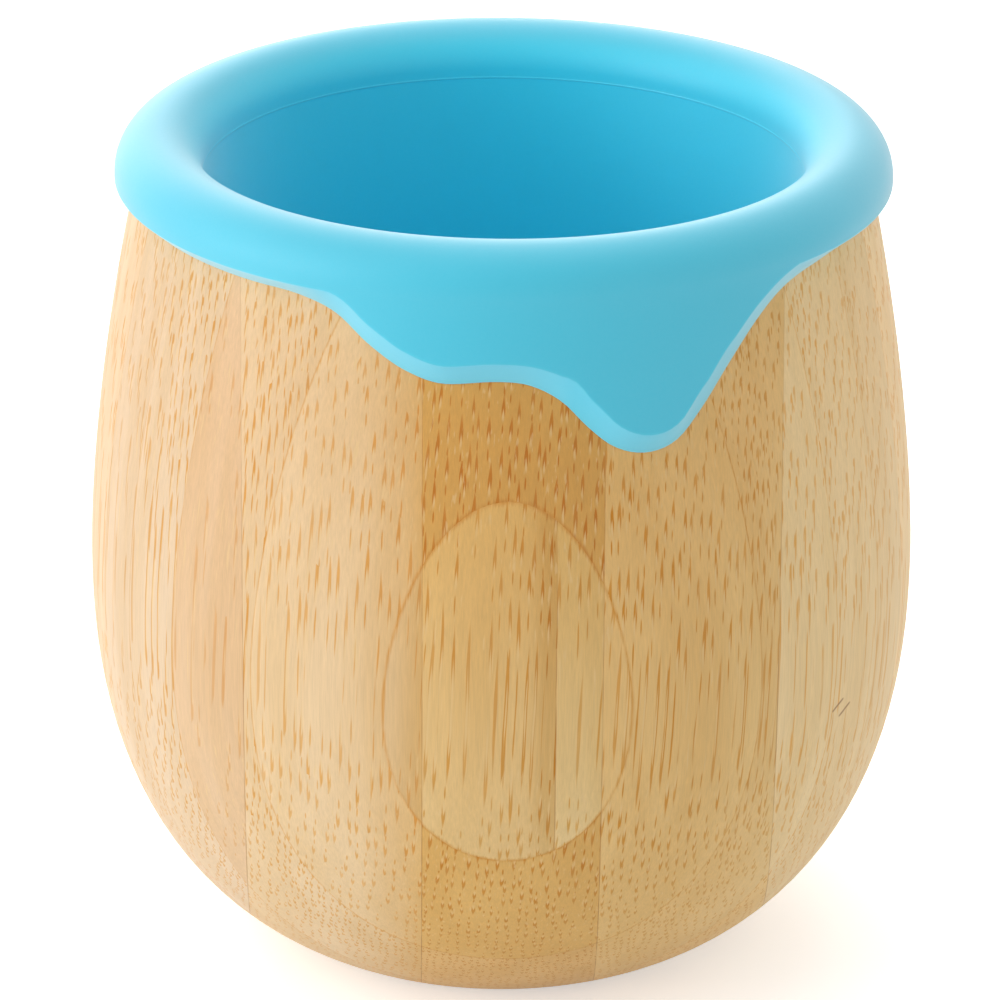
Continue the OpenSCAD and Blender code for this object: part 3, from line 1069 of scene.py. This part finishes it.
def white_world():
    """White surroundings, which shine at a lower strength than the camera sees."""
    world = bpy.data.worlds.new("white_studio")
    bpy.context.scene.world = world
    world.use_nodes = True
    tree = Tree(world.node_tree)
    background = world.node_tree.nodes["Background"]
    background.inputs["Color"].default_value = (1, 1, 1, 1)
    strength = tree.ramp(seen_directly(tree), 0.0, 1.0, settings().stage.surroundings, 1.0, smooth=False)
    tree.join(strength, background.inputs["Strength"])


def photograph_camera():
    """Camera at the photograph's viewing angle."""
    stage = settings().stage
    camera = bpy.data.cameras.new("camera")
    camera.lens = stage.lens
    camera.sensor_width = 36
    camera.shift_x = stage.shift
    camera.clip_start = 0.01
    camera.clip_end = 20
    holder = bpy.data.objects.new("camera", camera)
    flat = stage.distance * math.cos(stage.elevation)
    holder.location = (0, -flat, stage.aim_h + stage.distance * math.sin(stage.elevation))
    look = Matrix.Rotation(math.pi / 2 - stage.elevation, 4, "X")
    roll = Matrix.Rotation(stage.roll, 4, "Z")
    holder.rotation_euler = (look @ roll).to_euler()
    bpy.context.scene.collection.objects.link(holder)
    bpy.context.scene.camera = holder


class CUP_OT_stage(Operator):
    """Lay the white floor, set the soft lamps and place the camera"""

    bl_idname = "bamboo_cup.stage"
    bl_label = "Stage"

    def execute(self, context):
        half = settings().stage.floor_size / 2
        bm = bmesh.new()
        corners = [bm.verts.new((x * half, y * half, 0)) for x, y in ((-1, -1), (1, -1), (1, 1), (-1, 1))]
        bm.faces.new(corners)
        finished_object(bm, "floor", floor_material())
        for name, (place, size, power) in LAMPS.items():
            soft_lamp(name, place, size, power)
        white_world()
        photograph_camera()
        context.scene.view_settings.view_transform = "Standard"
        return {"FINISHED"}


class CUP_PT_panel(Panel):
    """Lists the steps that make the cup"""

    bl_idname = "CUP_PT_panel"
    bl_label = "Bamboo Cup"
    bl_space_type = "VIEW_3D"
    bl_region_type = "UI"
    bl_category = "Bamboo Cup"

    def draw(self, context):
        for step in STEPS:
            self.layout.operator(step.bl_idname)


class CupSettings(PropertyGroup):
    """Everything that a user may change."""

    body: PointerProperty(type=BodySizes)
    block: PointerProperty(type=BlockSizes)
    liner: PointerProperty(type=LinerSizes)
    colours: PointerProperty(type=Colours)
    stage: PointerProperty(type=StageSizes)


STEPS = (CUP_OT_bamboo_strips, CUP_OT_silicone_liner, CUP_OT_stage)
CLASSES = (BodySizes, BlockSizes, LinerSizes, Colours, StageSizes, CupSettings, *STEPS, CUP_PT_panel)


def register():
    for item in CLASSES:
        bpy.utils.register_class(item)
    bpy.types.Scene.bamboo_cup = PointerProperty(type=CupSettings)


def unregister():
    del bpy.types.Scene.bamboo_cup
    for item in reversed(CLASSES):
        bpy.utils.unregister_class(item)


def main():
    register()
    bpy.ops.bamboo_cup.bamboo_strips()
    bpy.ops.bamboo_cup.silicone_liner()
    bpy.ops.bamboo_cup.stage()


if __name__ == "__main__":
    main()
